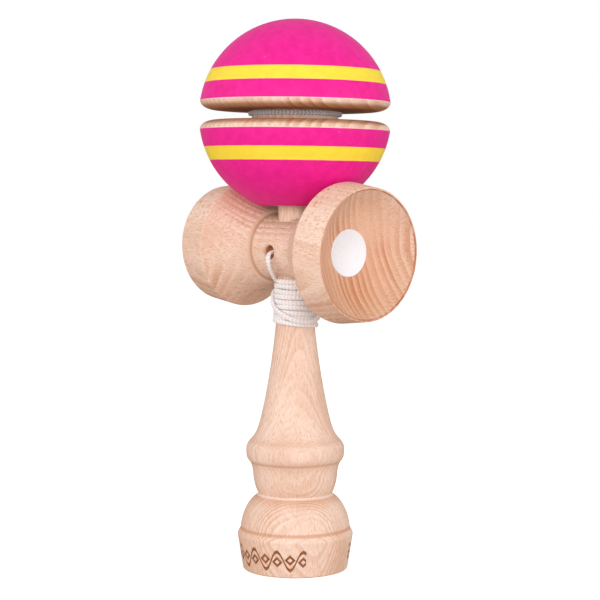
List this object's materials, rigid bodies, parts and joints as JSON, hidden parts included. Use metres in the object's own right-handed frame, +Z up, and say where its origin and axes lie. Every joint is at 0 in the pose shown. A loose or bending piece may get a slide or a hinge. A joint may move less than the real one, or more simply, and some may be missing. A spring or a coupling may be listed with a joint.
{
  "type": "kendama",
  "caption": "Wooden cup-and-ball toy: turned handle with base cup and spike, two-cup crosspiece, grooved painted ball with a string looped round its core, and string wound on the neck.",
  "frame": {"origin": "centre of the handle's round base, on the plane that it stands on", "axes": "+Z up the handle to the spike and ball, +X along the crosspiece to the big cup, -Y the side with the string's hole"},
  "size_m": [0.069, 0.0594, 0.1724],
  "materials": {
    "beech": "fine sanded, unvarnished",
    "painted_ball": "satin pink paint with two yellow bands, bare wood in the groove",
    "disc_print": "plain white sticker",
    "string_white": "soft braided string"
  },
  "bodies": {
    "handle_set": {"handle": "beech", "crosspiece": "beech", "cup_disc": "disc_print", "string_stopper_knot": "string_white", "string_lead": "string_white", "string_winding": "string_white", "string_riser": "string_white"},
    "loop": {"string_loop": "string_white", "string_loop_knot": "string_white"},
    "ball": {"ball": "painted_ball"}
  },
  "joints": [
    {"name": "ball_lift", "type": "slide", "parent": "handle_set", "child": "loop", "axis": [0, 0, 1], "range_m": [0, 0.055], "deforming": ["string_riser"]},
    {"name": "ball_spin", "type": "hinge", "parent": "loop", "child": "ball", "pos_m": [0, 0, 0.1424], "axis": [0.0086, 0.0098, 0.9999], "continuous": true}
  ]
}
